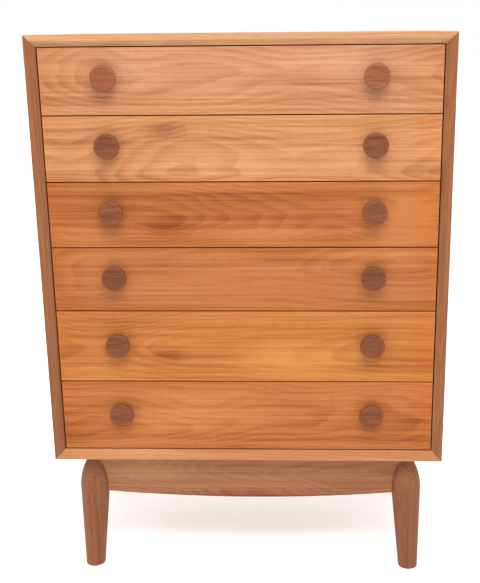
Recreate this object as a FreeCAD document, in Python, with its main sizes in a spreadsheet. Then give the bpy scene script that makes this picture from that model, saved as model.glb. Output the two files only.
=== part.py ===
# A teak chest of six full-width drawers, two turned knobs on each, on a base frame with four turned legs.
# Millimetres. X runs to the right, Y to the back and Z up; the origin is on the floor, midway between
# the outermost points of the chest. Drawers are numbered from the top.

import FreeCAD, Part
import math
import os
import Sketcher
from FreeCAD import Placement, Rotation, Vector

SIZES = {
    # Case: four mitred panels
    "case_width": 800,
    "case_depth": 450,
    "panel_thickness": 21,
    "bevel_width": 10,
    "spline_width": 16,
    "spline_thickness": 4,
    "spline_place": 9,
    "spline_margin": 30,
    # Back panel in its rabbet
    "back_thickness": 6,
    "back_rabbet": 9,
    "back_recess": 3,
    "back_screw_margin": 70,
    # Clearances: glued joints, and pieces that slide on one another
    "fit_clearance": 0.15,
    "running_clearance": 0.4,
    # Drawer fronts, in three pairs from the top down
    "upper_front_height": 124,
    "middle_front_height": 127,
    "lower_front_height": 147,
    "front_gap": 2,
    "front_setback": 7,
    "front_thickness": 20,
    "front_edge_round": 1.5,
    # Drawer boxes
    "drawer_rear_gap": 29,
    "drawer_side_thickness": 13,
    "side_rise": 8,
    "side_drop": 14,
    "side_top_round": 4,
    "drawer_back_thickness": 12,
    "drawer_back_inset": 10,
    "drawer_back_drop": 6,
    "drawer_back_dado": 2.5,
    "drawer_bottom_thickness": 5,
    "drawer_bottom_rise": 8,
    "drawer_bottom_groove": 5,
    # Half-blind dovetails between drawer sides and fronts
    "tail_length": 13,
    "tail_flare": 2.2,
    "pin_width": 6,
    # Runners on the case sides
    "runner_height": 16,
    "runner_projection": 8,
    "runner_rise": 44,
    "runner_inset": 45,
    "runner_end_gap": 8,
    "runner_nose": 4,
    "runner_screw_margin": 40,
    # Turned knobs
    "knob_diameter": 48,
    "knob_height": 24,
    "knob_rim_round": 3.5,
    "knob_rim_thickness": 8,
    "knob_dish": 3,
    "knob_cove_radius": 20,
    "knob_neck_diameter": 21,
    "knob_neck_height": 2,
    "knob_spigot_diameter": 12,
    "knob_spacing": 506,
    "knob_rise": 7,
    # Turned legs, splayed outwards both ways
    "base_height": 268,
    "leg_inset": 69,
    "leg_setback": 60,
    "leg_splay": 2.5,
    "leg_crown": 3,
    "leg_crown_diameter": 30,
    "leg_crown_round": 6,
    "leg_swell_diameter": 62,
    "leg_swell_drop": 62,
    "leg_foot_diameter": 40,
    "leg_trim": 8,
    # Rails, coped to the legs and tenoned into them
    "rail_thickness": 20,
    "rail_depth": 71,
    "rail_bow": 15,
    "rail_edge_round": 4,
    "tenon_thickness": 10,
    "tenon_height": 38,
    "tenon_drop": 20,
    "tenon_gap": 9,
    "tenon_root": 6,
    # Cross bearers that lie on the front and back rails and hold the case clear of them
    "bearer_height": 24,
    "bearer_width": 28,
    "bearer_spacing": 275,
    "bearer_end_inset": 4,
    # Screws from the bearers up into the bottom panel, and down into the rails
    "case_screw_spacing": 170,
    "case_screw_grip": 16,
    "case_screw_cover": 3,
    "rail_screw_sink": 5,
    "rail_screw_reach": 25,
    "base_screw_diameter": 5,
    "base_screw_head_diameter": 10,
    "base_screw_head_height": 3,
    # Screws of the runners and the back panel
    "wood_screw_diameter": 3.5,
    "wood_screw_length": 16,
    "wood_screw_head_diameter": 7,
    "wood_screw_head_height": 2.5,
    "wood_screw_counterbore": 3,
    # Slots of all screw heads
    "slot_width": 1.2,
    "slot_depth": 1.2,
}

DRAWER_SIZES = ["upper", "upper", "middle", "middle", "lower", "lower"]
DRAWERS = range(1, len(DRAWER_SIZES) + 1)
TAILS = 3
SIDES = {"left": -1, "right": 1}
BEARERS = {"left": -1, "middle": 0, "right": 1}
ENDS = {"front": -1, "back": 1}

# Sign of each origin plane's normal along the axis it looks down.
NORMAL_SIGN = {"XY": 1, "XZ": -1, "YZ": 1}

doc = FreeCAD.newDocument("chest_of_drawers")
sheet = doc.addObject("Spreadsheet::Sheet", "sizes")
for row, (alias, number) in enumerate(SIZES.items(), start=1):
    sheet.set(f"A{row}", alias)
    sheet.set(f"B{row}", str(number))
    sheet.setAlias(f"B{row}", alias)
doc.recompute()

layout = doc.addObject("App::VarSet", "layout")
nodes = []


def derive(name, expression):
    """Adds a place or size that follows from the driving dimensions."""
    layout.addProperty("App::PropertyFloat", name)
    layout.setExpression(name, expression)


def value(expression):
    return float(sheet.evalExpression(expression))


def derive_case():
    rows = " + ".join(f"sizes.{size}_front_height" for size in DRAWER_SIZES)
    gaps = len(DRAWER_SIZES) + 1
    derive("case_height", f"2 * sizes.panel_thickness + {rows} + {gaps} * sizes.front_gap")
    derive("case_top", "sizes.base_height + case_height")
    derive("inner_bottom", "sizes.base_height + sizes.panel_thickness")
    derive("inner_top", "case_top - sizes.panel_thickness")
    derive("side_outer", "sizes.case_width / 2")
    derive("side_inner", "side_outer - sizes.panel_thickness")
    derive("case_front", "(sizes.knob_height - sizes.front_setback - sizes.case_depth) / 2")
    derive("case_back", "case_front + sizes.case_depth")
    derive("back_outer", "case_back - sizes.back_recess")
    derive("back_inner", "back_outer - sizes.back_thickness")
    derive("back_screw_x", "side_inner + sizes.back_rabbet / 2")
    derive("back_screw_spread", "side_inner - sizes.back_screw_margin")
    derive("back_screw_low", "inner_bottom - sizes.back_rabbet / 2")
    derive("back_screw_high", "inner_top + sizes.back_rabbet / 2")
    derive("back_screw_first", "inner_bottom + sizes.back_screw_margin")
    derive("back_screw_middle", "(inner_bottom + inner_top) / 2")
    derive("back_screw_last", "inner_top - sizes.back_screw_margin")


def derive_drawers():
    derive("front_face", "case_front + sizes.front_setback")
    derive("front_rear", "front_face + sizes.front_thickness")
    derive("front_half", "side_inner - sizes.front_gap")
    derive("tail_tip", "front_rear - sizes.tail_length")
    derive("box_inner", "front_half - sizes.drawer_side_thickness")
    derive("box_back", "back_inner - sizes.drawer_rear_gap")
    derive("board_rear", "box_back - sizes.drawer_back_inset")
    derive("board_front", "board_rear - sizes.drawer_back_thickness")
    derive("runner_face", "side_inner - sizes.runner_projection")
    derive("runner_front", "case_front + sizes.runner_inset")
    derive("runner_back", "back_inner - sizes.runner_end_gap")
    derive("runner_screw_front", "runner_front + sizes.runner_screw_margin")
    derive("runner_screw_back", "runner_back - sizes.runner_screw_margin")
    derive("groove_floor", "runner_face - sizes.running_clearance")
    below = "inner_bottom"
    for number in reversed(DRAWERS):
        drawer = f"drawer_{number}"
        derive(f"{drawer}_bottom", f"{below} + sizes.front_gap")
        derive(f"{drawer}_top", f"{drawer}_bottom + sizes.{DRAWER_SIZES[number - 1]}_front_height")
        derive(f"{drawer}_knob", f"({drawer}_bottom + {drawer}_top) / 2 + sizes.knob_rise")
        derive(f"{drawer}_side_bottom", f"{drawer}_bottom + sizes.side_rise")
        derive(f"{drawer}_side_top", f"{drawer}_top - sizes.side_drop")
        derive(f"{drawer}_pitch", f"({drawer}_side_top - {drawer}_side_bottom) / {TAILS}")
        derive(f"{drawer}_floor", f"{drawer}_side_bottom + sizes.drawer_bottom_rise")
        derive(f"{drawer}_floor_top", f"{drawer}_floor + sizes.drawer_bottom_thickness")
        derive(f"{drawer}_runner", f"{drawer}_bottom + sizes.runner_rise")
        derive(f"{drawer}_runner_middle", f"{drawer}_runner + sizes.runner_height / 2")
        below = f"{drawer}_top"


def derive_base():
    derive("leg_x", "side_outer - sizes.leg_inset")
    derive("leg_front", "case_front + sizes.leg_setback")
    derive("leg_back", "case_back - sizes.leg_setback")
    derive("leg_middle", "(leg_front + leg_back) / 2")
    derive("frame_top", "sizes.base_height - sizes.bearer_height")
    derive("leg_top", "frame_top + sizes.leg_crown")
    derive("lean", "(sizes.leg_crown + sizes.rail_depth / 2) * tan(sizes.leg_splay)")
    derive("corner_x", "leg_x + lean")
    derive("corner_front", "leg_front - lean")
    derive("corner_back", "leg_back + lean")
    derive("half_span", "(corner_back - corner_front) / 2")
    derive("rail_low", "frame_top - sizes.rail_depth")
    derive("swell_radius", "sizes.leg_swell_diameter / 2")
    derive("tenon_low", "frame_top - sizes.tenon_drop - sizes.tenon_height")
    derive("tenon_size", "swell_radius + sizes.tenon_root - sizes.tenon_gap")
    derive("bearer_end", "half_span + sizes.rail_thickness / 2 - sizes.bearer_end_inset")
    derive("case_screw_seat", "sizes.base_height - sizes.case_screw_grip")
    derive("case_screw_tip", "inner_bottom - sizes.case_screw_cover")
    derive("rail_screw_seat", "sizes.base_height - sizes.rail_screw_sink")
    derive("rail_screw_tip", "frame_top - sizes.rail_screw_reach")


def new_body(name):
    body = doc.addObject("PartDesign::Body", name)
    body.Label = name
    return body


def new_sketch(body, plane, level):
    """Makes a sketch on one of the body's origin planes, moved along that plane's axis to a level."""
    sketch = body.newObject("Sketcher::SketchObject", f"{body.Name}_sketch")
    support = next(item for item in body.Origin.OriginFeatures if item.Role == f"{plane}_Plane")
    sketch.AttachmentSupport = [(support, "")]
    sketch.MapMode = "FlatFace"
    sketch.setExpression("AttachmentOffset.Base.z", f"{NORMAL_SIGN[plane]} * ({level})")
    return sketch


def bind(sketch, constraint, expression):
    index = sketch.addConstraint(constraint)
    sketch.setExpression(f"Constraints[{index}]", expression)


def fix_point(sketch, geometry, point, x, y):
    """Holds a point of a sketch at two bound distances from the sketch's origin."""
    bind(sketch, Sketcher.Constraint("DistanceX", -1, 1, geometry, point, value(x)), x)
    bind(sketch, Sketcher.Constraint("DistanceY", -1, 1, geometry, point, value(y)), y)


def arc_between(start, end, radius, turns_left):
    """The shorter arc from start to end, drawn anticlockwise as sketches hold arcs."""
    if not turns_left:
        start, end = end, start
    chord = end - start
    inward = Vector(-chord.y, chord.x, 0).normalize()
    centre = (start + end) / 2 + inward * math.sqrt(radius ** 2 - chord.Length ** 2 / 4)
    first = math.atan2(start.y - centre.y, start.x - centre.x)
    last = math.atan2(end.y - centre.y, end.x - centre.x)
    if last < first:
        last += 2 * math.pi
    return Part.ArcOfCircle(Part.Circle(centre, Vector(0, 0, 1), radius), first, last)


def add_outline(sketch, corners):
    """Adds a closed outline. A corner is (x, y), or (x, y, turn, radius) where an arc leads on from it."""
    places = [Vector(value(corner[0]), value(corner[1]), 0) for corner in corners]
    edges = []
    for index, corner in enumerate(corners):
        following = places[(index + 1) % len(places)]
        if len(corner) == 2:
            line = sketch.addGeometry(Part.LineSegment(places[index], following), False)
            edges.append((line, 1, 2))
            continue
        turns_left = corner[2] == "left"
        arc = sketch.addGeometry(arc_between(places[index], following, value(corner[3]), turns_left), False)
        edges.append((arc, 1, 2) if turns_left else (arc, 2, 1))
    for index, (edge, start, end) in enumerate(edges):
        next_edge, next_start, _ = edges[(index + 1) % len(edges)]
        sketch.addConstraint(Sketcher.Constraint("Coincident", edge, end, next_edge, next_start))
        fix_point(sketch, edge, start, corners[index][0], corners[index][1])
        if len(corners[index]) > 2:
            radius = corners[index][3]
            bind(sketch, Sketcher.Constraint("Radius", edge, value(radius)), radius)


def add_circle(sketch, x, y, diameter):
    ring = Part.Circle(Vector(value(x), value(y), 0), Vector(0, 0, 1), value(diameter) / 2)
    circle = sketch.addGeometry(ring, False)
    fix_point(sketch, circle, 3, x, y)
    bind(sketch, Sketcher.Constraint("Diameter", circle, value(diameter)), diameter)


def draw(body, plane, level, outlines, circles):
    sketch = new_sketch(body, plane, level)
    for corners in outlines:
        add_outline(sketch, corners)
    for x, y, diameter in circles:
        add_circle(sketch, x, y, diameter)
    return sketch


def add_pad(body, plane, low, high, outlines=(), circles=()):
    """Pads outlines and circles drawn on a plane from one level up to another along its axis."""
    pad = body.newObject("PartDesign::Pad", f"{body.Name}_pad")
    pad.Profile = draw(body, plane, low, outlines, circles)
    pad.setExpression("Length", f"({high}) - ({low})")
    pad.Reversed = NORMAL_SIGN[plane] < 0
    return pad


def add_pocket(body, plane, low, high, outlines=(), circles=()):
    """Cuts outlines and circles drawn on a plane from one level up to another along its axis."""
    pocket = body.newObject("PartDesign::Pocket", f"{body.Name}_pocket")
    pocket.Profile = draw(body, plane, low, outlines, circles)
    pocket.setExpression("Length", f"({high}) - ({low})")
    pocket.Reversed = NORMAL_SIGN[plane] > 0
    return pocket


def add_revolution(body, outline):
    """Turns an outline of radius and height about the body's own Y axis."""
    revolution = body.newObject("PartDesign::Revolution", f"{body.Name}_revolution")
    sketch = draw(body, "XY", "0", [outline], [])
    revolution.Profile = sketch
    revolution.ReferenceAxis = (sketch, ["V_Axis"])
    revolution.Angle = 360
    return revolution


def add_fillet(body, base, radius, wanted):
    """Rounds the edges of a feature that a test picks out."""
    doc.recompute()
    names = [f"Edge{index}" for index, edge in enumerate(base.Shape.Edges, start=1) if wanted(edge)]
    fillet = body.newObject("PartDesign::Fillet", f"{body.Name}_fillet")
    fillet.Base = (base, names)
    fillet.setExpression("Radius", radius)
    return fillet


def is_circle(edge):
    return isinstance(edge.Curve, Part.Circle)


def lies_along_top(edge, top):
    """Whether an edge runs from front to back at the given height."""
    start, end = edge.Vertexes[0].Point, edge.Vertexes[-1].Point
    at_top = all(math.isclose(point.z, top, abs_tol=1e-6) for point in (start, end))
    return at_top and math.isclose(start.x, end.x, abs_tol=1e-6)


def rectangle(left, low, right, high):
    return [(left, low), (right, low), (right, high), (left, high)]


def mirrored_span(side, inner, outer):
    """The levels between two distances from the middle plane, on one side of it."""
    if side > 0:
        return inner, outer
    return f"-({outer})", f"-({inner})"


def add_box(name, start, size):
    box = doc.addObject("Part::Box", name)
    for axis, place in zip("xyz", start):
        box.setExpression(f"Placement.Base.{axis}", place)
    for extent, expression in zip(("Length", "Width", "Height"), size):
        box.setExpression(extent, expression)
    return box


def combine(kind, name, **inputs):
    """Adds a boolean or a group of other objects."""
    result = doc.addObject(f"Part::{kind}", name)
    for key, content in inputs.items():
        setattr(result, key, content)
    result.Label = name
    return result


def keep(piece):
    """Lists a finished sub-part."""
    nodes.append(piece)


def hole(diameter):
    return f"{diameter} + 2 * sizes.fit_clearance"


def runner_screw_places():
    """Height and depth of every runner screw on one case side."""
    for number in DRAWERS:
        for end in ENDS:
            yield f"layout.runner_screw_{end}", f"layout.drawer_{number}_runner_middle"


def back_screw_places(edge):
    """Where the back panel's screws go into one case panel, seen from the front."""
    if edge in SIDES:
        x = f"{SIDES[edge]} * layout.back_screw_x"
        return [(x, f"layout.back_screw_{level}") for level in ("first", "middle", "last")]
    level = {"bottom": "layout.back_screw_low", "top": "layout.back_screw_high"}[edge]
    return [(f"{step} * layout.back_screw_spread", level) for step in (-1, 0, 1)]


def cut_back_screw_holes(body, edge):
    depth = "layout.back_outer - sizes.wood_screw_length - sizes.fit_clearance"
    holes = [(x, z, hole("sizes.wood_screw_diameter")) for x, z in back_screw_places(edge)]
    add_pocket(body, "XZ", depth, "layout.back_inner", circles=holes)


def spline_outline(side, level, clearance):
    """A spline's section, set square across the mitre of one case corner."""
    inner = {-1: "layout.inner_bottom", 1: "layout.inner_top"}[level]
    corners = []
    for along, across in ((1, 1), (1, -1), (-1, -1), (-1, 1)):
        length = f"{along} * (sizes.spline_width / 2 + {clearance})"
        breadth = f"{across} * (sizes.spline_thickness / 2 + {clearance})"
        x = f"{side} * (layout.side_inner + sizes.spline_place + ({length} + {breadth}) / sqrt(2))"
        z = f"{inner} + {level} * (sizes.spline_place + ({breadth} - {length}) / sqrt(2))"
        corners.append((x, z))
    return corners


def spline_ends():
    return "layout.case_front + sizes.spline_margin", "layout.back_inner - sizes.spline_margin"


def cut_spline_groove(body, side, level):
    low, high = spline_ends()
    groove = spline_outline(side, level, "sizes.fit_clearance")
    add_pocket(body, "XZ", f"{low} - sizes.fit_clearance", f"{high} + sizes.fit_clearance", [groove])


def make_side_panel(name):
    side = SIDES[name]
    body = new_body(f"{name}_side_panel")
    outer = f"{side} * layout.side_outer"
    inner = f"{side} * layout.side_inner"
    mitred = [(outer, "sizes.base_height"), (inner, "layout.inner_bottom"),
              (inner, "layout.inner_top"), (outer, "layout.case_top")]
    add_pad(body, "XZ", "layout.case_front", "layout.case_back", [mitred])
    edge = f"{side} * (layout.side_inner + sizes.bevel_width)"
    bevel = [(edge, "layout.case_front"), (inner, "layout.case_front"), (inner, "layout.front_face")]
    shoulder = f"{side} * (layout.side_inner + sizes.back_rabbet)"
    rabbet = rectangle(inner, "layout.back_inner", shoulder, "layout.case_back")
    add_pocket(body, "XY", "sizes.base_height", "layout.case_top", [bevel, rabbet])
    for level in (-1, 1):
        cut_spline_groove(body, side, level)
    seat = "layout.runner_face + sizes.wood_screw_counterbore"
    reach = f"{seat} + sizes.wood_screw_length + sizes.fit_clearance"
    pilot = hole("sizes.wood_screw_diameter")
    holes = [(y, z, pilot) for y, z in runner_screw_places()]
    add_pocket(body, "YZ", *mirrored_span(side, "layout.side_inner", reach), circles=holes)
    cut_back_screw_holes(body, name)
    keep(body)


def make_level_panel(name, level, inner, outer):
    """The top or the bottom of the case, mitred to the sides."""
    body = new_body(f"{name}_panel")
    mitred = [("-layout.side_outer", outer), ("layout.side_outer", outer),
              ("layout.side_inner", inner), ("-layout.side_inner", inner)]
    add_pad(body, "XZ", "layout.case_front", "layout.case_back", [mitred])
    edge = f"{inner} + {level} * sizes.bevel_width"
    bevel = [("layout.case_front", edge), ("layout.case_front", inner), ("layout.front_face", inner)]
    shoulder = f"{inner} + {level} * sizes.back_rabbet"
    rabbet = rectangle("layout.back_inner", inner, "layout.case_back", shoulder)
    add_pocket(body, "YZ", "-layout.side_outer", "layout.side_outer", [bevel, rabbet])
    for side in SIDES.values():
        cut_spline_groove(body, side, level)
    cut_back_screw_holes(body, name)
    if name == "bottom":
        tip = "layout.case_screw_tip + sizes.fit_clearance"
        holes = [(x, y, hole("sizes.base_screw_diameter")) for x, y in case_screw_places()]
        add_pocket(body, "XY", "sizes.base_height", tip, circles=holes)
    keep(body)


def make_corner_splines():
    splines = []
    low, high = spline_ends()
    for side in SIDES.values():
        for level in (-1, 1):
            body = new_body("corner_spline")
            add_pad(body, "XZ", low, high, [spline_outline(side, level, "0")])
            splines.append(body)
    keep(combine("Compound", "corner_splines", Links=splines))


def make_back_panel():
    body = new_body("back_panel")
    half = "layout.side_inner + sizes.back_rabbet - sizes.fit_clearance"
    low = "layout.inner_bottom - sizes.back_rabbet + sizes.fit_clearance"
    high = "layout.inner_top + sizes.back_rabbet - sizes.fit_clearance"
    board = rectangle(f"-({half})", low, half, high)
    add_pad(body, "XZ", "layout.back_inner", "layout.back_outer", [board])
    places = [place for edge in ("left", "right", "bottom", "top") for place in back_screw_places(edge)]
    holes = [(x, z, hole("sizes.wood_screw_diameter")) for x, z in places]
    add_pocket(body, "XZ", "layout.back_inner", "layout.back_outer", circles=holes)
    keep(body)


def make_runners(name):
    """The six runners of one case side, with their noses chamfered and their screws sunk."""
    side = SIDES[name]
    body = new_body(f"{name}_runners")
    outlines = []
    for number in DRAWERS:
        low = f"layout.drawer_{number}_runner"
        high = f"{low} + sizes.runner_height"
        nose = "layout.runner_front + sizes.runner_nose"
        outlines.append([(nose, low), ("layout.runner_back", low), ("layout.runner_back", high), (nose, high),
                         ("layout.runner_front", f"{high} - sizes.runner_nose"),
                         ("layout.runner_front", f"{low} + sizes.runner_nose")])
    add_pad(body, "YZ", *mirrored_span(side, "layout.runner_face", "layout.side_inner"), outlines)
    seat = "layout.runner_face + sizes.wood_screw_counterbore"
    sunk = [(y, z, hole("sizes.wood_screw_head_diameter")) for y, z in runner_screw_places()]
    add_pocket(body, "YZ", *mirrored_span(side, "layout.runner_face", seat), circles=sunk)
    bores = [(y, z, hole("sizes.wood_screw_diameter")) for y, z in runner_screw_places()]
    add_pocket(body, "YZ", *mirrored_span(side, seat, "layout.side_inner"), circles=bores)
    keep(body)


def slots(places, head):
    """The outlines of straight slots across screw heads."""
    half = "sizes.slot_width / 2"
    reach = f"({head} / 2 + sizes.fit_clearance)"
    return [rectangle(f"{a} - {reach}", f"{b} - {half}", f"{a} + {reach}", f"{b} + {half}")
            for a, b in places]


def make_runner_screws(name):
    side = SIDES[name]
    places = list(runner_screw_places())
    body = new_body(f"{name}_runner_screws")
    seat = "layout.runner_face + sizes.wood_screw_counterbore"
    crown = f"{seat} - sizes.wood_screw_head_height"
    heads = [(y, z, "sizes.wood_screw_head_diameter") for y, z in places]
    add_pad(body, "YZ", *mirrored_span(side, crown, seat), circles=heads)
    shanks = [(y, z, "sizes.wood_screw_diameter") for y, z in places]
    add_pad(body, "YZ", *mirrored_span(side, seat, f"{seat} + sizes.wood_screw_length"), circles=shanks)
    cuts = slots(places, "sizes.wood_screw_head_diameter")
    add_pocket(body, "YZ", *mirrored_span(side, crown, f"{crown} + sizes.slot_depth"), cuts)
    return body


def make_back_screws():
    body = new_body("back_screws")
    places = [place for edge in ("left", "right", "bottom", "top") for place in back_screw_places(edge)]
    outer = "layout.back_outer"
    crown = f"{outer} + sizes.wood_screw_head_height"
    heads = [(x, z, "sizes.wood_screw_head_diameter") for x, z in places]
    add_pad(body, "XZ", outer, crown, circles=heads)
    shanks = [(x, z, "sizes.wood_screw_diameter") for x, z in places]
    add_pad(body, "XZ", f"{outer} - sizes.wood_screw_length", outer, circles=shanks)
    cuts = slots(places, "sizes.wood_screw_head_diameter")
    add_pocket(body, "XZ", f"{crown} - sizes.slot_depth", crown, cuts)
    return body


def make_case_screws():
    """Screws that go up through the bearers."""
    body = new_body("case_screws")
    seat = "layout.case_screw_seat"
    crown = f"{seat} - sizes.base_screw_head_height"
    heads = [(x, y, "sizes.base_screw_head_diameter") for x, y in case_screw_places()]
    add_pad(body, "XY", crown, seat, circles=heads)
    shanks = [(x, y, "sizes.base_screw_diameter") for x, y in case_screw_places()]
    add_pad(body, "XY", seat, "layout.case_screw_tip", circles=shanks)
    cuts = slots(case_screw_places(), "sizes.base_screw_head_diameter")
    add_pocket(body, "XY", crown, f"{crown} + sizes.slot_depth", cuts)
    return body


def make_rail_screws():
    """Screws that go down through the bearers."""
    body = new_body("rail_screws")
    seat = "layout.rail_screw_seat"
    crown = f"{seat} + sizes.base_screw_head_height"
    heads = [(x, y, "sizes.base_screw_head_diameter") for x, y in rail_screw_places()]
    add_pad(body, "XY", seat, crown, circles=heads)
    shanks = [(x, y, "sizes.base_screw_diameter") for x, y in rail_screw_places()]
    add_pad(body, "XY", "layout.rail_screw_tip", seat, circles=shanks)
    cuts = slots(rail_screw_places(), "sizes.base_screw_head_diameter")
    add_pocket(body, "XY", f"{crown} - sizes.slot_depth", crown, cuts)
    return body


def make_wood_screws():
    groups = [make_runner_screws(side) for side in SIDES]
    groups += [make_back_screws(), make_case_screws(), make_rail_screws()]
    keep(combine("Compound", "wood_screws", Links=groups))


def leg_outline(clearance):
    """Half of a leg's turned section: crown, round shoulder, swell and taper, measured down from its top."""
    crown = f"sizes.leg_crown_diameter / 2 + {clearance}"
    swell = f"layout.swell_radius + {clearance}"
    foot = f"sizes.leg_foot_diameter / 2 + {clearance}"
    bottom = "-(layout.leg_top + sizes.leg_trim)"
    shoulder_in = "(layout.swell_radius - sizes.leg_crown_diameter / 2)"
    shoulder_radius = f"({shoulder_in} ^ 2 + sizes.leg_swell_drop ^ 2) / (2 * {shoulder_in})"
    return [("0", bottom), (foot, bottom), (swell, "-sizes.leg_swell_drop", "left", shoulder_radius),
            (crown, "0"), ("0", "0")]


def turn_leg(name, side, end, clearance):
    """A turned leg blank, leaning outwards to its side and to its end, longer than the finished leg."""
    body = new_body(name)
    turning = add_revolution(body, leg_outline(clearance))
    add_fillet(body, turning, "sizes.leg_crown_round",
               lambda edge: is_circle(edge) and math.isclose(edge.Curve.Center.y, 0, abs_tol=1e-6))
    upright = Rotation(Vector(1, 0, 0), 90)
    lean = Rotation(Vector(ENDS[end], -SIDES[side], 0), value("atan(sqrt(2) * tan(sizes.leg_splay))"))
    body.Placement = Placement(Vector(), lean * upright)
    body.setExpression("Placement.Base.x", f"{SIDES[side]} * layout.leg_x")
    body.setExpression("Placement.Base.y", f"layout.leg_{end}")
    body.setExpression("Placement.Base.z", "layout.leg_top")
    return body


def tenon_box(name, along, side, end, clearance):
    """The tenon of one rail at one leg. A clearance makes it the mortise."""
    across = f"(sizes.tenon_thickness + 2 * {clearance})"
    length = f"(layout.tenon_size + 2 * {clearance})"
    x = f"{SIDES[side]} * layout.corner_x"
    y = f"layout.corner_{end}"
    near = f"(sizes.tenon_gap - {clearance})"
    low = f"layout.tenon_low - {clearance}"
    height = f"sizes.tenon_height + 2 * {clearance}"
    if along == "X":
        start = f"{x} + {near}" if side == "left" else f"{x} - {near} - {length}"
        return add_box(name, (start, f"{y} - {across} / 2", low), (length, across, height))
    start = f"{y} + {near}" if end == "front" else f"{y} - {near} - {length}"
    return add_box(name, (f"{x} - {across} / 2", start, low), (across, length, height))


def make_legs():
    for end in ENDS:
        for side in SIDES:
            name = f"{end}_{side}"
            blank = turn_leg(f"{name}_leg_turning", side, end, "0")
            x = f"{SIDES[side]} * layout.leg_x - sizes.leg_swell_diameter"
            y = f"layout.leg_{end} - sizes.leg_swell_diameter"
            width = "2 * sizes.leg_swell_diameter"
            slab = add_box(f"{name}_leg_slab", (x, y, "0"), (width, width, "sizes.base_height"))
            trimmed = combine("Common", f"{name}_leg_trimmed", Base=blank, Tool=slab)
            mortises = [tenon_box(f"{name}_mortise_{axis}", axis, side, end, "sizes.fit_clearance")
                        for axis in "XY"]
            mortises = combine("Compound", f"{name}_mortises", Links=mortises)
            keep(combine("Cut", f"{name}_leg", Base=trimmed, Tool=mortises))


def case_screw_places():
    """Where screws go up through the bearers into the case, in plan."""
    return [(f"{step} * sizes.bearer_spacing", f"layout.leg_middle + {end} * sizes.case_screw_spacing / 2")
            for step in BEARERS.values() for end in ENDS.values()]


def rail_screw_places(ends=ENDS):
    """Where screws go down through the bearers into the rails, in plan."""
    return [(f"{step} * sizes.bearer_spacing", f"layout.corner_{end}")
            for step in BEARERS.values() for end in ends]


def make_cross_bearers():
    body = new_body("cross_bearers")
    front = "layout.leg_middle - layout.bearer_end"
    back = "layout.leg_middle + layout.bearer_end"
    half = "sizes.bearer_width / 2"
    middles = [f"{step} * sizes.bearer_spacing" for step in BEARERS.values()]
    boards = [rectangle(f"{middle} - {half}", front, f"{middle} + {half}", back) for middle in middles]
    add_pad(body, "XY", "layout.frame_top", "sizes.base_height", boards)
    head = hole("sizes.base_screw_head_diameter")
    shank = hole("sizes.base_screw_diameter")
    add_pocket(body, "XY", "layout.frame_top", "layout.case_screw_seat",
               circles=[(x, y, head) for x, y in case_screw_places()])
    add_pocket(body, "XY", "layout.case_screw_seat", "sizes.base_height",
               circles=[(x, y, shank) for x, y in case_screw_places()])
    add_pocket(body, "XY", "layout.rail_screw_seat", "sizes.base_height",
               circles=[(x, y, head) for x, y in rail_screw_places()])
    add_pocket(body, "XY", "layout.frame_top", "layout.rail_screw_seat",
               circles=[(x, y, shank) for x, y in rail_screw_places()])
    keep(body)


def shape_rail(body, plane, middle, outline, mitres):
    """Cuts out a rail, rounds its lower edges and mitres it at the corners."""
    near = f"{middle} - sizes.rail_thickness / 2"
    far = f"{middle} + sizes.rail_thickness / 2"
    blank = add_pad(body, plane, near, far, [outline])
    add_fillet(body, blank, "sizes.rail_edge_round", is_circle)
    add_pocket(body, "XY", "layout.rail_low - sizes.rail_bow", "layout.frame_top", mitres)


def join_rail(name, body, corners, along):
    """Copes a rail to its legs and adds its tenons."""
    copings = [turn_leg(f"{name}_coping", side, end, "sizes.fit_clearance") for side, end in corners]
    copings = combine("Compound", f"{name}_copings", Links=copings)
    coped = combine("Cut", f"{name}_coped", Base=body, Tool=copings)
    tenons = [tenon_box(f"{name}_tenon", along, side, end, "0") for side, end in corners]
    keep(combine("MultiFuse", name, Shapes=[coped] + tenons))


def bowed_outline(first, last, half):
    """A rail's elevation: straight on top, with a shallow bow below."""
    radius = f"(({half}) ^ 2 + sizes.rail_bow ^ 2) / (2 * sizes.rail_bow)"
    return [(first, "layout.frame_top"), (first, "layout.rail_low", "left", radius),
            (last, "layout.rail_low"), (last, "layout.frame_top")]


def corner_mitre(side, end, along):
    """The inner half of a rail's end, cut back so that two rails meet on the diagonal."""
    x = f"{SIDES[side]} * layout.corner_x"
    y = f"layout.corner_{end}"
    step = "sizes.rail_thickness / 2"
    room = "sizes.fit_clearance"
    inner_x = f"{x} - {SIDES[side]} * {step}"
    inner_y = f"{y} - {ENDS[end]} * {step}"
    if along == "X":
        shift = f"{SIDES[side]} * {room}"
        return [(x, y), (x, inner_y), (f"{inner_x} - {shift}", inner_y), (f"{x} - {shift}", y)]
    shift = f"{ENDS[end]} * {room}"
    return [(x, y), (inner_x, y), (inner_x, f"{inner_y} - {shift}"), (x, f"{y} - {shift}")]


def make_long_rail(end):
    """The front or the back rail."""
    name = f"{end}_rail"
    body = new_body(f"{name}_blank")
    outline = bowed_outline("-layout.corner_x", "layout.corner_x", "layout.corner_x")
    mitres = [corner_mitre(side, end, "X") for side in SIDES]
    shape_rail(body, "XZ", f"layout.corner_{end}", outline, mitres)
    bores = [(x, y, hole("sizes.base_screw_diameter")) for x, y in rail_screw_places([end])]
    add_pocket(body, "XY", "layout.rail_screw_tip - sizes.fit_clearance", "layout.frame_top", circles=bores)
    join_rail(name, body, [(side, end) for side in SIDES], "X")


def make_side_rail(side):
    """The left or the right rail."""
    name = f"{side}_rail"
    body = new_body(f"{name}_blank")
    outline = bowed_outline("layout.corner_front", "layout.corner_back", "layout.half_span")
    mitres = [corner_mitre(side, end, "Y") for end in ENDS]
    shape_rail(body, "YZ", f"{SIDES[side]} * layout.corner_x", outline, mitres)
    join_rail(name, body, [(side, end) for end in ENDS], "Y")


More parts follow.
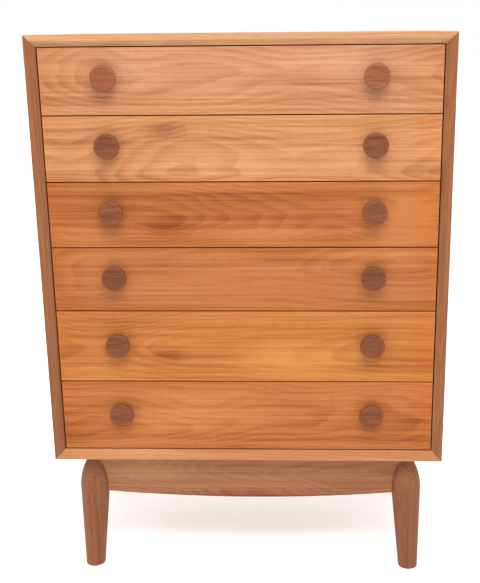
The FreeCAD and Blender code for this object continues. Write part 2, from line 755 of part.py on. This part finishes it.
def tail_outline(drawer, tail, clearance):
    """One dovetail seen from the side, from the upper root corner round its tip to the lower one."""
    centre = f"layout.{drawer}_side_bottom + {tail + 0.5} * layout.{drawer}_pitch"
    tip_half = f"(layout.{drawer}_pitch / 2 - sizes.pin_width / 2 + {clearance})"
    root_half = f"({tip_half} - sizes.tail_flare)"
    tip = f"layout.tail_tip - {clearance}"
    return [("layout.front_rear", f"{centre} + {root_half}"), (tip, f"{centre} + {tip_half}"),
            (tip, f"{centre} - {tip_half}"), ("layout.front_rear", f"{centre} - {root_half}")]


def make_drawer_front(drawer):
    body = new_body(f"{drawer}_front")
    board = rectangle("-layout.front_half", f"layout.{drawer}_bottom",
                      "layout.front_half", f"layout.{drawer}_top")
    blank = add_pad(body, "XZ", "layout.front_face", "layout.front_rear", [board])
    face = value("layout.front_face")
    add_fillet(body, blank, "sizes.front_edge_round",
               lambda edge: all(math.isclose(vertex.Y, face, abs_tol=1e-6) for vertex in edge.Vertexes))
    sockets = [tail_outline(drawer, tail, "sizes.fit_clearance") for tail in range(TAILS)]
    for side in SIDES.values():
        span = mirrored_span(side, "layout.box_inner - sizes.fit_clearance", "layout.front_half")
        add_pocket(body, "YZ", *span, sockets)
    half = "layout.box_inner + sizes.drawer_bottom_groove"
    groove = rectangle(f"-({half})", f"layout.{drawer}_floor - sizes.fit_clearance",
                       half, f"layout.{drawer}_floor_top + sizes.fit_clearance")
    add_pocket(body, "XZ", "layout.front_rear - sizes.drawer_bottom_groove", "layout.front_rear", [groove])
    bores = [(f"{side} * sizes.knob_spacing / 2", f"layout.{drawer}_knob", hole("sizes.knob_spigot_diameter"))
             for side in SIDES.values()]
    add_pocket(body, "XZ", "layout.front_face", "layout.front_rear", circles=bores)
    keep(body)


def make_drawer_side(drawer, name):
    """A drawer side with tails, a groove that rides on its runner, and housings for bottom and back."""
    side = SIDES[name]
    body = new_body(f"{drawer}_{name}_side")
    low = f"layout.{drawer}_side_bottom"
    high = f"layout.{drawer}_side_top"
    outline = [("layout.box_back", low), ("layout.box_back", high), ("layout.front_rear", high)]
    for tail in reversed(range(TAILS)):
        outline += tail_outline(drawer, tail, "0")
    outline.append(("layout.front_rear", low))
    blank = add_pad(body, "YZ", *mirrored_span(side, "layout.box_inner", "layout.front_half"), [outline])
    top = value(high)
    add_fillet(body, blank, "sizes.side_top_round", lambda edge: lies_along_top(edge, top))
    runner = f"layout.{drawer}_runner"
    groove = rectangle("layout.runner_front - sizes.running_clearance", f"{runner} - sizes.running_clearance",
                       "layout.box_back", f"{runner} + sizes.runner_height + sizes.running_clearance")
    add_pocket(body, "YZ", *mirrored_span(side, "layout.groove_floor", "layout.front_half"), [groove])
    slot_front = "layout.front_rear - sizes.drawer_bottom_groove"
    slot = rectangle(slot_front, f"layout.{drawer}_floor - sizes.fit_clearance",
                     "layout.box_back", f"layout.{drawer}_floor_top + sizes.fit_clearance")
    slot_floor = "layout.box_inner + sizes.drawer_bottom_groove"
    add_pocket(body, "YZ", *mirrored_span(side, "layout.box_inner", slot_floor), [slot])
    dado = rectangle("layout.board_front - sizes.fit_clearance", f"layout.{drawer}_floor_top",
                     "layout.board_rear + sizes.fit_clearance", high)
    dado_floor = "layout.box_inner + sizes.drawer_back_dado"
    add_pocket(body, "YZ", *mirrored_span(side, "layout.box_inner", dado_floor), [dado])
    keep(body)


def make_drawer_back(drawer):
    body = new_body(f"{drawer}_back")
    half = "layout.box_inner + sizes.drawer_back_dado - sizes.fit_clearance"
    board = rectangle(f"-({half})", f"layout.{drawer}_floor_top",
                      half, f"layout.{drawer}_side_top - sizes.drawer_back_drop")
    add_pad(body, "XZ", "layout.board_front", "layout.board_rear", [board])
    keep(body)


def make_drawer_bottom(drawer):
    body = new_body(f"{drawer}_bottom")
    half = "layout.box_inner + sizes.drawer_bottom_groove - sizes.fit_clearance"
    front = "layout.front_rear - sizes.drawer_bottom_groove + sizes.fit_clearance"
    board = rectangle(f"-({half})", front, half, "layout.board_rear")
    add_pad(body, "XY", f"layout.{drawer}_floor", f"layout.{drawer}_floor_top", [board])
    keep(body)


def knob_outline():
    """Half of a knob's turned section: dished face, round rim, cove, neck and the spigot in the front."""
    rim = "sizes.knob_diameter / 2"
    rim_inner = "(sizes.knob_diameter / 2 - sizes.knob_rim_round)"
    neck = "sizes.knob_neck_diameter / 2"
    spigot = "sizes.knob_spigot_diameter / 2"
    dish_radius = f"({rim_inner} ^ 2 + sizes.knob_dish ^ 2) / (2 * sizes.knob_dish)"
    return [("0", "sizes.knob_dish - sizes.knob_height", "right", dish_radius),
            (rim_inner, "-sizes.knob_height", "left", "sizes.knob_rim_round"),
            (rim, "sizes.knob_rim_round - sizes.knob_height"),
            (rim, "sizes.knob_rim_thickness - sizes.knob_height", "right", "sizes.knob_cove_radius"),
            (neck, "-sizes.knob_neck_height"), (neck, "0"), (spigot, "0"),
            (spigot, "sizes.front_thickness"), ("0", "sizes.front_thickness")]


def make_knob(drawer, name):
    body = new_body(f"{drawer}_{name}_knob")
    add_revolution(body, knob_outline())
    body.setExpression("Placement.Base.x", f"{SIDES[name]} * sizes.knob_spacing / 2")
    body.setExpression("Placement.Base.y", "layout.front_face")
    body.setExpression("Placement.Base.z", f"layout.{drawer}_knob")
    keep(body)


def make_drawer(number):
    drawer = f"drawer_{number}"
    make_drawer_front(drawer)
    for side in SIDES:
        make_drawer_side(drawer, side)
        make_knob(drawer, side)
    make_drawer_back(drawer)
    make_drawer_bottom(drawer)


def check_document():
    """Stops before anything is written if an object failed or a sub-part has no sound shape."""
    for item in doc.Objects:
        if "Invalid" in item.State or "Error" in item.State:
            raise RuntimeError(f"{item.Label} failed: {item.State}")
    for piece in nodes:
        if piece.Shape.isNull() or not piece.Shape.isValid() or not piece.Shape.Solids:
            raise RuntimeError(f"{piece.Label} has no sound shape")


def main():
    derive_case()
    derive_drawers()
    derive_base()
    doc.recompute()
    make_level_panel("top", 1, "layout.inner_top", "layout.case_top")
    make_level_panel("bottom", -1, "layout.inner_bottom", "sizes.base_height")
    for side in SIDES:
        make_side_panel(side)
        make_runners(side)
    make_corner_splines()
    make_back_panel()
    make_legs()
    for end in ENDS:
        make_long_rail(end)
    for side in SIDES:
        make_side_rail(side)
    make_cross_bearers()
    make_wood_screws()
    for number in DRAWERS:
        make_drawer(number)
    doc.recompute()
    check_document()
    os.makedirs("parts", exist_ok=True)
    for piece in nodes:
        piece.Shape.exportStep(f"parts/{piece.Label}.step")


main()
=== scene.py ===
import math
from collections import namedtuple

import bpy
from mathutils import Matrix, Vector


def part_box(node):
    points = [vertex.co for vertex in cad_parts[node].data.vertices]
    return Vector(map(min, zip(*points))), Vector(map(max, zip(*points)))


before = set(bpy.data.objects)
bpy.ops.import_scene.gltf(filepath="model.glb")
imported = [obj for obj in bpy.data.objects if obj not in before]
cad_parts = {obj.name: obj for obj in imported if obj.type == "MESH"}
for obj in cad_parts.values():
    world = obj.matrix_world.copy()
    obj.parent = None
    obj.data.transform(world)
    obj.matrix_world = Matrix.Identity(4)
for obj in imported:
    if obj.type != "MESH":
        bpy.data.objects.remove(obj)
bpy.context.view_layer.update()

# The order in which an object's axes run along the grain, across the show face and through the board.
FRONT_BOARD = "XZY"
LEVEL_BOARD = "XYZ"
SIDE_BOARD = "ZYX"
DEEP_BOARD = "YZX"
POST = "ZXY"

# Tones of the woods in an even light.
TOP_TONE = (0.391, 0.192, 0.091)
SIDE_TONE = (0.219, 0.083, 0.034)
BOTTOM_TONE = (0.361, 0.142, 0.053)
RAIL_TONE = (0.283, 0.114, 0.05)
LEG_TONE = (0.193, 0.0685, 0.03)
KNOB_TONE = (0.162, 0.052, 0.0225)
BEECH_TONE = (0.62, 0.43, 0.26)
PLY_TONE = (0.6, 0.43, 0.27)

# The depth, from pale at 0 to dark at 1, at which a board or a knob has its plain tone.
PLAIN = 0.4
KNOB_PLAIN = 0.45

# How far the rings bend round a mark of the figure, painted light and shade among them, as a share of the
# mark's half width.
RING_BEND = 0.4

# Widths of the log's rings, in metres.
CASE_RING = 0.006
FRONT_RING = 0.005
BASE_RING = 0.004

# Where in the noise each kind of piece starts, so that no two boards are alike.
RAIL_START = 20.0
CROSS_START = 24.0
LEG_START = 30.0
FRONT_START = 40.0
FRONT_STEP = 3.0
KNOB_STEP = 2.0
SIDE_START = 60.0
BACK_START = 70.0
BOTTOM_START = 80.0

# A teak board: its axes and tone, how far up and how deep from its middle the log's heart lies, how the log
# leans along it, the width of its rings, where in the noise it starts, the marks of its figure, some of which
# are painted light and painted shade, and its tints of aged oil, those at the ends of the fronts painted
# shade.
Board = namedtuple("Board", "order tone heart lean ring start figure amber", defaults=((), ()))

# A lens-shaped mark: its place along and across the board from the middle, its half length and half width,
# all in metres, and its strength. In a figure it is a dark eye that the rings bend round, or a pale flame if
# its strength is below 0, and some are painted light and painted shade. In the tints it is a place where the
# oil has aged, and at both ends of every front it is painted shade.
Mark = namedtuple("Mark", "along across half_length half_width strength")

# The tint of aged oil, also used for painted shade, and where that painted shade lies on every front: at both
# ends, beside the case.
AMBER_AND_SHADE_TINT = (1.0, 0.86, 0.6)
PAINTED_END_SHADE = (Mark(-0.36, 0.0, 0.05, 0.2, 0.35), Mark(0.36, 0.0, 0.05, 0.2, 0.6))

CASE_BOARDS = {
    "top_panel": Board(LEVEL_BOARD, TOP_TONE, (0.04, 0.12), 0.05, CASE_RING, 1.0),
    "bottom_panel": Board(LEVEL_BOARD, BOTTOM_TONE, (-0.05, 0.12), 0.05, CASE_RING, 4.0, (
        Mark(-0.25, -0.22, 0.2, 0.12, -0.32),
    )),
    "left_side_panel": Board(SIDE_BOARD, SIDE_TONE, (0.03, 0.11), 0.06, CASE_RING, 8.0),
    "right_side_panel": Board(SIDE_BOARD, SIDE_TONE, (-0.04, 0.11), -0.05, CASE_RING, 12.0),
}
RAIL_FIGURE_AND_PAINTED_SHADE = (
    Mark(-0.22, 0.015, 0.14, 0.04, -0.24),
    # Darker at the right end, beside the right leg: painted shade.
    Mark(0.22, -0.02, 0.16, 0.045, 0.2),
    # A dark band along the lower edge: painted shade.
    Mark(0.0, -0.036, 0.36, 0.02, 0.34),
)
# Paler on each leg's shoulders, just under the case: painted light.
LEG_PAINTED_LIGHT = (Mark(0.105, 0.0, 0.05, 0.06, -0.35),)

# A drawer front: its board's tone, heart and lean, its knobs' share of KNOB_TONE, its figure with some
# painted light and shade in it, and marks of aged oil apart from the painted shade at the ends.
Front = namedtuple("Front", "tone heart lean knob_share figure amber", defaults=((),))

# The fronts from the top down.
FRONTS = (
    Front((0.374, 0.1615, 0.077), (0.02, 0.1), 0.022, 1.25, (
        Mark(-0.2, 0.02, 0.1, 0.06, -0.12),
        # This mark and the next: paler along the top of the front, painted sheen.
        Mark(0.21, 0.05, 0.22, 0.036, -0.32),
        Mark(-0.04, 0.054, 0.34, 0.028, -0.2),
        Mark(-0.08, -0.03, 0.24, 0.045, -0.2),
    ), (
        Mark(-0.06, -0.05, 0.38, 0.045, 0.5),
        Mark(-0.32, 0.0, 0.12, 0.09, 0.45),
    )),
    Front((0.409, 0.1725, 0.071), (-0.02, 0.1), 0.026, 0.85, (
        Mark(-0.145, 0.036, 0.06, 0.026, 0.34),
        Mark(-0.34, -0.01, 0.1, 0.05, -0.08),
        Mark(0.34, -0.03, 0.1, 0.05, 0.1),
        Mark(0.05, -0.046, 0.42, 0.03, -0.24),
    )),
    Front((0.311, 0.0935, 0.026), (0.01, 0.08), -0.03, 1.0, (
        # Darker across the upper part of the front: painted shade under the front above.
        Mark(-0.05, 0.018, 0.3, 0.04, 0.14),
        Mark(-0.148, -0.02, 0.075, 0.036, 0.4),
        Mark(0.05, -0.039, 0.18, 0.034, -0.32),
        Mark(0.32, -0.012, 0.16, 0.11, -0.54),
        Mark(-0.31, -0.05, 0.12, 0.036, -0.3),
        Mark(-0.05, 0.056, 0.36, 0.022, -0.16),
    ), (
        Mark(0.33, 0.0, 0.12, 0.09, 0.35),
    )),
    Front((0.326, 0.1045, 0.0304), (0.03, 0.1), 0.025, 0.8, (
        Mark(-0.36, -0.02, 0.12, 0.08, 0.18),
        Mark(-0.28, 0.05, 0.13, 0.03, -0.24),
        Mark(0.27, 0.05, 0.12, 0.03, -0.18),
        Mark(0.09, 0.04, 0.16, 0.03, 0.1),
        Mark(0.06, -0.054, 0.22, 0.022, -0.14),
    )),
    Front((0.368, 0.1225, 0.0283), (-0.01, 0.09), 0.03, 0.85, (
        Mark(-0.15, -0.018, 0.055, 0.027, 0.3),
        Mark(-0.24, 0.055, 0.24, 0.05, 0.13),
        Mark(-0.3, -0.054, 0.16, 0.042, -0.24),
        Mark(0.1, -0.026, 0.2, 0.046, -0.42),
    )),
    Front((0.357, 0.1115, 0.0293), (0.0, 0.08), -0.026, 0.95, (
        Mark(-0.37, -0.02, 0.1, 0.06, 0.12),
        Mark(-0.12, 0.0, 0.22, 0.085, -0.26),
        Mark(0.1, 0.045, 0.12, 0.04, 0.08),
        Mark(0.34, -0.01, 0.16, 0.09, 0.09),
        Mark(-0.25, -0.055, 0.14, 0.03, -0.2),
    )),
)

# The lathe's rings on a knob and the plies of plywood, in radians a metre.
LATHE_PITCH = 5200.0
PLY_PITCH = 2600.0

# The studio: a floor like a light table, and one soft lamp high up in front. Metres and watts.
FLOOR_SIZE = 60.0
FLOOR_GLOW = 0.45
LAMP_PLACE = Vector((0.3, -2.2, 3.4))
LAMP_AIM = Vector((0.0, 0.0, 0.6))
LAMP_WIDTH = 2.4
LAMP_HEIGHT = 1.6
LAMP_POWER = 110.0

# The picture, the column that the lens points at and the lens, all in pixels; the film in millimetres.
PICTURE_WIDTH = 480
PICTURE_HEIGHT = 583
AXIS_COLUMN = 280
FOCAL_LENGTH = 943.0
FILM_SIZE = 36.0

# Where the camera stands, in metres, and how it turns left, looks down and leans, in degrees.
CAMERA_PLACE = (0.1328, -1.998, 1.1262)
CAMERA_TURN = 1.99
CAMERA_DIP = 15.54
CAMERA_LEAN = -0.53


class Shade:
    """One socket of a finish. A sum with shades in it adds its Math nodes."""

    def __init__(self, finish, socket):
        self.finish = finish
        self.socket = socket

    def beside(self, output):
        """Another output of the same node."""
        return Shade(self.finish, self.socket.node.outputs[output])

    def math(self, operation, *terms):
        return self.finish.node("ShaderNodeMath", {"operation": operation}, dict(enumerate(terms)))

    def __add__(self, other):
        return self.math("ADD", self, other)

    def __radd__(self, other):
        return self.math("ADD", other, self)

    def __sub__(self, other):
        return self.math("SUBTRACT", self, other)

    def __rsub__(self, other):
        return self.math("SUBTRACT", other, self)

    def __mul__(self, other):
        return self.math("MULTIPLY", self, other)

    def __rmul__(self, other):
        return self.math("MULTIPLY", other, self)

    def __truediv__(self, other):
        return self.math("DIVIDE", self, other)

    def __rtruediv__(self, other):
        return self.math("DIVIDE", other, self)

    def __pow__(self, other):
        return self.math("POWER", self, other)

    def __rpow__(self, other):
        return self.math("POWER", other, self)

    def __abs__(self):
        return self.math("ABSOLUTE", self)

    def part(self):
        """What is left over whole steps, from 0 to 1."""
        return self.math("FRACT", self)

    def wave(self):
        """A sine wave between 0 and 1."""
        return (self.math("SINE", self) + 1) * 0.5

    def least(self, other):
        return self.math("MINIMUM", self, other)

    def rise(self, low, high):
        """0 below low, 1 above high, with a smooth step between."""
        settings = {"interpolation_type": "SMOOTHSTEP"}
        inputs = {"Value": self, "From Min": low, "From Max": high}
        return self.finish.node("ShaderNodeMapRange", settings, inputs)


class Finish:
    """A material whose look is worked out by its nodes."""

    def __init__(self, name):
        self.material = bpy.data.materials.new(name)
        self.material.use_nodes = True
        self.tree = self.material.node_tree
        self.tree.nodes.clear()

    def node(self, kind, settings=None, inputs=None, output=0):
        node = self.tree.nodes.new(kind)
        for key, setting in (settings or {}).items():
            if key == "stops":
                self.set_stops(node.color_ramp, setting)
            else:
                setattr(node, key, setting)
        for key, given in (inputs or {}).items():
            if isinstance(given, Shade):
                self.tree.links.new(given.socket, node.inputs[key])
            else:
                node.inputs[key].default_value = given
        return Shade(self, node.outputs[output]) if node.outputs else None

    def set_stops(self, ramp, stops):
        while len(ramp.elements) < len(stops):
            ramp.elements.new(1.0)
        for element, (place, colour) in zip(ramp.elements, stops):
            element.position = place
            element.color = (*colour, 1.0)

    def ramp(self, factor, stops):
        return self.node("ShaderNodeValToRGB", {"stops": stops}, {"Fac": factor}, "Color")

    def mix(self, factor, under, over, blend="MIX"):
        """A colour laid over another, as thick as the factor says. The node has its sockets once for numbers,
        vectors and colours each, so those for colours go by number."""
        settings = {"data_type": "RGBA", "blend_type": blend}
        return self.node("ShaderNodeMix", settings, {0: factor, 6: under, 7: (*over, 1.0)}, 2)

    def here(self):
        return self.node("ShaderNodeTexCoord", output="Object")

    def board(self, middle, order):
        """Distances from a board's middle: along the grain, across the show face and through the board."""
        moved = self.node("ShaderNodeVectorMath", {"operation": "SUBTRACT"}, {0: self.here(), 1: middle})
        first = self.node("ShaderNodeSeparateXYZ", {}, {0: moved}, "X")
        ways = [first.beside(axis) for axis in order]
        joined = self.node("ShaderNodeCombineXYZ", {}, dict(enumerate(ways)))
        return joined, *ways

    def cloud(self, place, scale, start=0.0, detail=2.0):
        """Noise from -0.5 to 0.5, drawn out along an axis whose scale, in waves a metre, is small."""
        moving = {"Vector": place, "Location": (start,) * 3, "Scale": scale}
        moved = self.node("ShaderNodeMapping", {}, moving)
        return self.node("ShaderNodeTexNoise", {}, {"Vector": moved, "Scale": 1.0, "Detail": detail}) - 0.5

    def bump(self, height, depth=0.0002, strength=0.2):
        return self.node("ShaderNodeBump", {}, {"Height": height, "Distance": depth, "Strength": strength})

    def surface(self, colour, roughness, relief=None, gloss=0.5, metal=0.0, glow=0.0):
        inputs = {"Base Color": colour, "Roughness": roughness, "Metallic": metal}
        inputs |= {"Specular IOR Level": gloss, "Emission Strength": glow}
        if relief is not None:
            inputs["Normal"] = relief
        coated = self.node("ShaderNodeBsdfPrincipled", {}, inputs)
        self.node("ShaderNodeOutputMaterial", {}, {"Surface": coated})
        return self.material


def tinted(tone, *share):
    return tuple(part * by for part, by in zip(tone, share))


def middle_of(node):
    low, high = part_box(node)
    return tuple((low + high) / 2)


def half_of(node, axis):
    low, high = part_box(node)
    return ((high - low) / 2)["XYZ".index(axis)]


def give(node, material):
    """Puts a finish on a CAD node in place of its plain one."""
    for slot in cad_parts[node].material_slots:
        slot.material = material


def from_rim(node, order, along, across):
    """How far a point is from the nearest end or edge of the board's show face."""
    return (half_of(node, order[0]) - abs(along)).least(half_of(node, order[1]) - abs(across))


def lens_of(mark, along, across):
    """1 in the middle of a mark, and 0 from its rim outwards."""
    off_along = (along - mark.along) / mark.half_length
    off_across = (across - mark.across) / mark.half_width
    reach = (off_along * off_along + off_across * off_across) ** 0.5
    return 1 - reach.rise(0.0, 1.0)


def teak(node, board):
    """Oiled teak. The rings are those of a log whose heart lies off the board and leans along it, so that the
    show face has long arches and the ends have arcs; they also bend round the marks, some of which are
    painted light and painted shade. Bands, streaks, threads, veins and pores run with the grain, the edges
    are rubbed pale, and aged oil lies over all as a clear tint, the same tint laying painted shade at the
    ends of the fronts."""
    finish = Finish(node + "_teak")
    place, along, across, through = finish.board(middle_of(node), board.order)
    heart_up, heart_deep = board.heart
    wander = finish.cloud(place, (1.1, 3.5, 3.5), board.start)
    ripple = finish.cloud(place, (4.0, 24.0, 24.0), board.start + 7.0)
    drift = finish.cloud(place, (2.6, 2.0, 2.0), board.start + 19.0, detail=1.0)
    up = across - heart_up + wander * 0.06 + ripple * 0.006
    deep = through - heart_deep + along * board.lean + drift * 0.05 + ripple * 0.01
    marks = 0.0
    # Marks of the figure, among them painted light and painted shade on some boards.
    for mark in board.figure:
        lens = lens_of(mark, along, across)
        up = up + lens * (mark.half_width * RING_BEND)
        marks = marks + lens * mark.strength
    radius = (up * up + deep * deep) ** 0.5
    phase = (radius / board.ring).part()
    late = phase.rise(0.15, 0.85) * (1 - phase.rise(0.88, 1.0))
    band = finish.cloud(place, (0.7, 30.0, 30.0), board.start + 3.0, detail=3.0)
    streak = finish.cloud(place, (1.5, 110.0, 110.0), board.start + 11.0, detail=3.0)
    thread = finish.cloud(place, (4.0, 380.0, 380.0), board.start + 13.0)
    fibre = finish.cloud(place, (15.0, 950.0, 950.0), board.start + 5.0)
    vessel = finish.cloud(place, (60.0, 1900.0, 1900.0), board.start + 9.0, detail=1.0)
    pore = vessel.rise(0.08, 0.2)
    course = finish.cloud(place, (0.8, 34.0, 34.0), board.start + 17.0, detail=1.0)
    vein = (1 - abs(course).rise(0.0, 0.018)) * band.rise(-0.08, 0.12)
    rings = (late - 0.4) * (0.15 + band * 0.22)
    grain = band * 0.7 + streak * 0.8 + thread * 0.6 + fibre * 0.3
    colour = finish.ramp(rings + grain + vein * 0.16 + marks + PLAIN, [
        (0.0, tinted(board.tone, 1.24, 1.5, 1.66)),
        (PLAIN, board.tone),
        (0.72, tinted(board.tone, 0.69, 0.63, 0.62)),
        (1.0, tinted(board.tone, 0.42, 0.36, 0.4)),
    ])
    colour = finish.mix(pore * 0.4, colour, tinted(board.tone, 0.38, 0.28, 0.22))
    worn = 1 - from_rim(node, board.order, along, across).rise(0.0004, 0.004)
    colour = finish.mix(worn * 0.25, colour, tinted(board.tone, 1.2, 1.16, 1.1))
    # Tints of aged oil, multiplied in; at both ends of every front they are painted shade.
    for mark in board.amber:
        aged_and_shaded = lens_of(mark, along, across) * mark.strength
        colour = finish.mix(aged_and_shaded, colour, AMBER_AND_SHADE_TINT, "MULTIPLY")
    roughness = 0.48 + fibre * 0.12 + pore * 0.15 - worn * 0.06
    relief = finish.bump(fibre * 0.5 - pore * 0.8 - late * 0.2)
    return finish.surface(colour, roughness, relief, gloss=0.1)


def turned_teak(name, axis_x, axis_z, tone, start):
    """A pair of knobs' wood: dark, with the lathe's rings, rubbed pale where fingers take hold of the rim."""
    finish = Finish(name)
    place, along, across, _ = finish.board((0.0, 0.0, axis_z), FRONT_BOARD)
    off_axis = abs(along) - axis_x
    reach = (off_axis * off_axis + across * across) ** 0.5
    band = finish.cloud(place, (14.0, 160.0, 90.0), start, detail=3.0)
    fibre = finish.cloud(place, (60.0, 1100.0, 700.0), start + 4.0)
    turning = (reach * LATHE_PITCH).wave()
    colour = finish.ramp(band * 1.2 + fibre * 0.5 + KNOB_PLAIN, [
        (0.0, tinted(tone, 1.5, 1.5, 1.5)),
        (KNOB_PLAIN, tone),
        (1.0, tinted(tone, 0.4, 0.34, 0.3)),
    ])
    rubbed = reach.rise(0.017, 0.023)
    colour = finish.mix(rubbed * 0.3, colour, tinted(tone, 1.5, 1.4, 1.3))
    roughness = 0.42 + fibre * 0.12 - rubbed * 0.08
    relief = finish.bump(fibre * 0.6 + turning * 0.25, depth=0.00015, strength=0.25)
    return finish.surface(colour, roughness, relief, gloss=0.12)


def beech(node, order, start):
    """Pale drawer wood with the short brown flecks of beech, soiled along the edges."""
    finish = Finish(node + "_beech")
    place, along, across, _ = finish.board(middle_of(node), order)
    band = finish.cloud(place, (1.2, 30.0, 30.0), start)
    fibre = finish.cloud(place, (18.0, 800.0, 800.0), start + 2.0)
    fleck = finish.cloud(place, (260.0, 1500.0, 1500.0), start + 6.0, detail=1.0).rise(0.1, 0.18)
    colour = finish.ramp(band * 0.8 + fibre * 0.4 + PLAIN, [
        (0.0, tinted(BEECH_TONE, 1.16, 1.18, 1.22)),
        (PLAIN, BEECH_TONE),
        (1.0, tinted(BEECH_TONE, 0.7, 0.62, 0.54)),
    ])
    colour = finish.mix(fleck * 0.45, colour, tinted(BEECH_TONE, 0.58, 0.46, 0.36))
    soiled = 1 - from_rim(node, order, along, across).rise(0.0005, 0.006)
    colour = finish.mix(soiled * 0.25, colour, tinted(BEECH_TONE, 0.66, 0.56, 0.46))
    relief = finish.bump(fibre * 0.5 - fleck * 0.4)
    return finish.surface(colour, 0.59 + fibre * 0.14, relief, gloss=0.35)


def plywood(node, order, start):
    """Peeled veneer, whose flames deepen slowly and end at once, with the plies on its edges."""
    finish = Finish(node + "_plywood")
    place, _, across, through = finish.board(middle_of(node), order)
    wander = finish.cloud(place, (2.2, 7.0, 7.0), start, detail=3.0)
    phase = (across * 14.0 + wander * 8.0).part()
    flame = phase.rise(0.0, 0.8) * (1 - phase.rise(0.86, 1.0))
    streak = finish.cloud(place, (3.0, 120.0, 120.0), start + 4.0)
    fibre = finish.cloud(place, (20.0, 700.0, 700.0), start + 2.0)
    ply = (through * PLY_PITCH).wave()
    colour = finish.ramp(flame * 0.34 + streak * 0.5 + fibre * 0.5 + ply * 0.3 + 0.12, [
        (0.0, tinted(PLY_TONE, 1.15, 1.16, 1.18)),
        (PLAIN, PLY_TONE),
        (1.0, tinted(PLY_TONE, 0.68, 0.6, 0.52)),
    ])
    relief = finish.bump(fibre, strength=0.18)
    return finish.surface(colour, 0.62 + fibre * 0.12, relief, gloss=0.3)


def plated_steel():
    """Zinc-plated screws, dulled in patches."""
    finish = Finish("zinc_steel")
    here = finish.here()
    patch = finish.cloud(here, (90.0, 90.0, 90.0), start=2.0, detail=3.0)
    scratch = finish.cloud(here, (900.0, 2400.0, 900.0), start=5.0, detail=1.0)
    colour = finish.ramp(patch + 0.5, [(0.3, (0.62, 0.6, 0.55)), (0.7, (0.36, 0.33, 0.28))])
    relief = finish.bump(scratch, depth=0.00005, strength=0.15)
    return finish.surface(colour, 0.385 + patch * 0.25, relief, metal=1.0)


def finish_case():
    for node, board in CASE_BOARDS.items():
        give(node, teak(node, board))
    give("corner_splines", plywood("corner_splines", DEEP_BOARD, start=15.0))
    give("back_panel", plywood("back_panel", POST, start=3.0))
    give("left_runners", beech("left_runners", DEEP_BOARD, start=2.0))
    give("right_runners", beech("right_runners", DEEP_BOARD, start=5.0))
    give("wood_screws", plated_steel())


def finish_base():
    rail = Board(FRONT_BOARD, RAIL_TONE, (0.02, 0.06), 0.05, BASE_RING, RAIL_START, RAIL_FIGURE_AND_PAINTED_SHADE)
    for number, node in enumerate(("front_rail", "back_rail")):
        give(node, teak(node, rail._replace(start=RAIL_START + number)))
    cross = rail._replace(order=DEEP_BOARD, figure=())
    for number, node in enumerate(("left_rail", "right_rail", "cross_bearers")):
        give(node, teak(node, cross._replace(start=CROSS_START + number)))
    leg = Board(POST, LEG_TONE, (0.03, 0.05), 0.05, BASE_RING, LEG_START, LEG_PAINTED_LIGHT)
    for number, node in enumerate(("front_left_leg", "front_right_leg", "back_left_leg", "back_right_leg")):
        give(node, teak(node, leg._replace(start=LEG_START + number)))


def finish_drawer(number, front):
    name = f"drawer_{number}"
    start = FRONT_START + FRONT_STEP * number
    # Painted shade at both ends, then the front's own marks of aged oil.
    amber = PAINTED_END_SHADE + front.amber
    board = Board(FRONT_BOARD, front.tone, front.heart, front.lean, FRONT_RING, start, front.figure, amber)
    give(name + "_front", teak(name + "_front", board))
    axis_x, _, axis_z = middle_of(name + "_right_knob")
    tone = [part * front.knob_share for part in KNOB_TONE]
    knob = turned_teak(name + "_knob_teak", axis_x, axis_z, tone, KNOB_STEP * number)
    for side in ("left", "right"):
        give(f"{name}_{side}_knob", knob)
        give(f"{name}_{side}_side", beech(f"{name}_{side}_side", DEEP_BOARD, SIDE_START + number))
    give(name + "_back", beech(name + "_back", FRONT_BOARD, BACK_START + number))
    give(name + "_bottom", plywood(name + "_bottom", LEVEL_BOARD, BOTTOM_START + number))


def lay_floor():
    """A plain pale studio floor, lit a little from below as a light table is."""
    bpy.ops.mesh.primitive_plane_add(size=FLOOR_SIZE)
    floor = bpy.context.object
    floor.name = "studio_floor"
    finish = Finish("floor_paper")
    mottle = finish.cloud(finish.here(), (1.5, 1.5, 1.5))
    colour = finish.ramp(mottle + 0.5, [(0.3, (0.86, 0.855, 0.85)), (0.7, (0.9, 0.895, 0.89))])
    floor.data.materials.append(finish.surface(colour, 0.75 + mottle * 0.1, gloss=0.2, glow=FLOOR_GLOW))


def light_studio():
    """White all round, and a large lamp above the camera that looks down at the fronts."""
    scene = bpy.context.scene
    world = bpy.data.worlds.new("studio_white")
    world.use_nodes = True
    sky = world.node_tree.nodes["Background"]
    sky.inputs["Color"].default_value = (1.0, 1.0, 1.0, 1.0)
    sky.inputs["Strength"].default_value = 1.0
    scene.world = world
    lamp = bpy.data.lights.new("overhead_softbox", "AREA")
    lamp.shape = "RECTANGLE"
    lamp.size = LAMP_WIDTH
    lamp.size_y = LAMP_HEIGHT
    lamp.energy = LAMP_POWER
    holder = bpy.data.objects.new("overhead_softbox", lamp)
    holder.location = LAMP_PLACE
    holder.rotation_euler = (LAMP_AIM - LAMP_PLACE).to_track_quat("-Z", "Y").to_euler()
    scene.collection.objects.link(holder)
    scene.view_settings.view_transform = "Standard"


def stand_camera():
    """The picture's view: from the height of the top, right of the middle, looking down and a little left."""
    lens = bpy.data.cameras.new("picture_lens")
    lens.sensor_width = FILM_SIZE
    lens.lens = FOCAL_LENGTH / PICTURE_HEIGHT * FILM_SIZE
    lens.shift_x = (PICTURE_WIDTH / 2 - AXIS_COLUMN) / PICTURE_HEIGHT
    camera = bpy.data.objects.new("picture_camera", lens)
    turn = Matrix.Rotation(math.radians(CAMERA_TURN), 4, "Z")
    tilt = Matrix.Rotation(math.radians(90.0 - CAMERA_DIP), 4, "X")
    lean = Matrix.Rotation(math.radians(CAMERA_LEAN), 4, "Z")
    camera.matrix_world = Matrix.Translation(CAMERA_PLACE) @ turn @ tilt @ lean
    bpy.context.scene.collection.objects.link(camera)
    bpy.context.scene.camera = camera


finish_case()
finish_base()
for number, front in enumerate(FRONTS, 1):
    finish_drawer(number, front)
lay_floor()
light_studio()
stand_camera()
